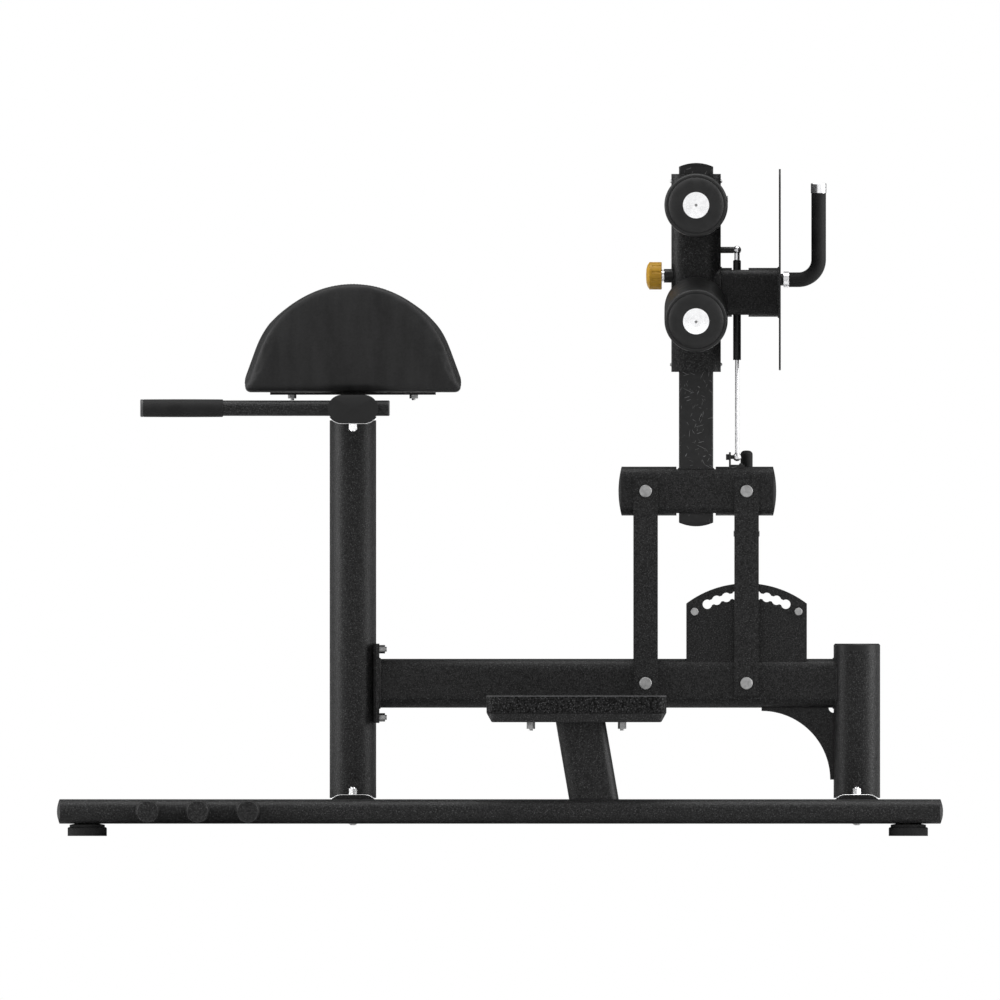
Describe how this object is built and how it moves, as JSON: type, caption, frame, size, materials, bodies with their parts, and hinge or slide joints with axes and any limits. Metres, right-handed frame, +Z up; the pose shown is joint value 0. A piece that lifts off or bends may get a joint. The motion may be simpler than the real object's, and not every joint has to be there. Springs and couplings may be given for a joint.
{
  "type": "roman chair",
  "caption": "Free-standing glute-ham bench: half-round hip pad on a post, handlebars, steps, and a height-adjustable ankle roller carriage on a swinging parallel linkage.",
  "frame": {"origin": "on the floor, at the middle of the machine's overall length and width", "axes": "+Z up; +X along the rails from the handlebar end to the footplate end; +Y to the machine's right, the side that carries the latch lever, with its left side at -Y"},
  "size_m": [1.808, 0.99, 1.373],
  "materials": {
    "black_powder_coat": "fine textured powder coat",
    "satin_black": "smooth satin black",
    "chrome": "bright chrome",
    "zinc": "zinc plate",
    "black_plastic": "moulded",
    "black_rubber": "matte rubber",
    "vinyl": "dark upholstery vinyl",
    "roller_skin": "smooth moulded foam skin",
    "aluminium": "turned aluminium",
    "yellow_plastic": "amber moulded plastic",
    "plywood": "plain ply",
    "step_grip": "coarse non-slip grit",
    "nylon": "plain nylon",
    "gas_spring_black": "gloss black"
  },
  "bodies": {
    "base": {"rail_left": "black_powder_coat", "rail_right": "black_powder_coat", "frame_end_caps": "black_plastic", "rubber_feet": "black_rubber", "band_pegs": "black_powder_coat", "base_cross_tubes": "black_powder_coat", "saddle_plates": "black_powder_coat", "saddle_bolts": "chrome", "front_post": "black_powder_coat", "rear_post": "black_powder_coat", "pad_crossbar": "black_powder_coat", "handlebars": "black_powder_coat", "handle_grips": "black_rubber", "handle_end_plugs": "black_plastic", "pad_bracket": "black_powder_coat", "pad_base_plate": "black_powder_coat", "pad_board": "plywood", "hip_pad": "vinyl", "hex_bolts": "zinc", "lower_beam": "black_powder_coat", "beam_flange": "black_powder_coat", "rear_gusset": "black_powder_coat", "step_treads": "step_grip", "step_struts": "black_powder_coat", "notch_plates": "black_powder_coat", "notch_plate_bolts": "zinc", "lower_pivot_bushes": "zinc", "lower_pivot_bolts": "zinc"},
    "front_link": {"front_link_bars": "black_powder_coat"},
    "rear_link": {"rear_link_bars": "black_powder_coat", "latch_pivot_pin": "zinc"},
    "latch_lever": {"latch_lever": "satin_black", "latch_grip": "black_rubber"},
    "latch_pin": {"latch_pin": "chrome"},
    "upper_frame": {"upper_beam": "black_powder_coat", "upper_frame_caps": "black_plastic", "upright_post": "satin_black", "upper_pivot_bushes": "zinc", "upper_pivot_bolts": "zinc", "spring_bracket": "satin_black", "gas_spring_rod": "chrome"},
    "carriage": {"carriage_sleeve": "black_powder_coat", "sleeve_liners": "nylon", "sleeve_screws": "zinc", "footplate_arm": "black_powder_coat", "footplate": "black_powder_coat", "foot_handle_tube": "satin_black", "foot_handle_grip": "black_rubber", "foot_handle_fittings": "aluminium", "gas_spring_cylinder": "gas_spring_black", "gas_spring_stud": "satin_black", "pop_pin_barrel": "satin_black", "roller_axles": "zinc", "roller_washers": "aluminium"},
    "roller_upper_left": {"roller_upper_left": "roller_skin"},
    "roller_upper_right": {"roller_upper_right": "roller_skin"},
    "roller_lower_left": {"roller_lower_left": "roller_skin"},
    "roller_lower_right": {"roller_lower_right": "roller_skin"},
    "pop_pin": {"pop_pin_plunger": "chrome", "pop_pin_knob": "yellow_plastic"}
  },
  "joints": [
    {"name": "linkage_swing", "type": "hinge", "parent": "base", "child": "front_link", "pos_m": [0.297, 0, 0.3115], "axis": [0, 1, 0], "range_deg": [-26.4, 26.4]},
    {"name": "rear_link_swing", "type": "hinge", "parent": "base", "child": "rear_link", "pos_m": [0.503, 0, 0.3115], "axis": [0, 1, 0], "range_deg": [-26.9, 26.9]},
    {"name": "upper_frame_level", "type": "hinge", "parent": "front_link", "child": "upper_frame", "pos_m": [0.297, 0, 0.7035], "axis": [0, 1, 0], "range_deg": [-26.9, 26.9]},
    {"name": "carriage_slide", "type": "slide", "parent": "upper_frame", "child": "carriage", "axis": [0, 0, 1], "range_m": [-0.18, 0], "stiffness_N_per_m": 200, "springref_m": 1.32},
    {"name": "pop_pin_pull", "type": "slide", "parent": "carriage", "child": "pop_pin", "axis": [1, 0, 0], "range_m": [-0.008, 0.0035]},
    {"name": "latch_lever_tilt", "type": "hinge", "parent": "rear_link", "child": "latch_lever", "pos_m": [0.503, 0.062, 0.6167], "axis": [1, 0, 0], "range_deg": [-6.41, 0]},
    {"name": "latch_pin_shift", "type": "slide", "parent": "rear_link", "child": "latch_pin", "axis": [0, 1, 0], "range_m": [-0.0142, 0.0001]},
    {"name": "upper_left_spin", "type": "hinge", "parent": "carriage", "child": "roller_upper_left", "pos_m": [0.4, -0.042, 1.2868], "axis": [0, -1, 0], "continuous": true},
    {"name": "upper_right_spin", "type": "hinge", "parent": "carriage", "child": "roller_upper_right", "pos_m": [0.4, 0.042, 1.2868], "axis": [0, 1, 0], "continuous": true},
    {"name": "lower_left_spin", "type": "hinge", "parent": "carriage", "child": "roller_lower_left", "pos_m": [0.4, -0.042, 1.078], "axis": [0, -0.9903, -0.1392], "continuous": true},
    {"name": "lower_right_spin", "type": "hinge", "parent": "carriage", "child": "roller_lower_right", "pos_m": [0.4, 0.042, 1.078], "axis": [0, 0.9903, -0.1392], "continuous": true}
  ],
  "couplings": [
    {"joint": "rear_link_swing", "follows": "linkage_swing", "ratio": 1},
    {"joint": "upper_frame_level", "follows": "linkage_swing", "ratio": -1},
    {"joint": "latch_pin_shift", "follows": "latch_lever_tilt", "m_per_rad": 0.1252}
  ]
}
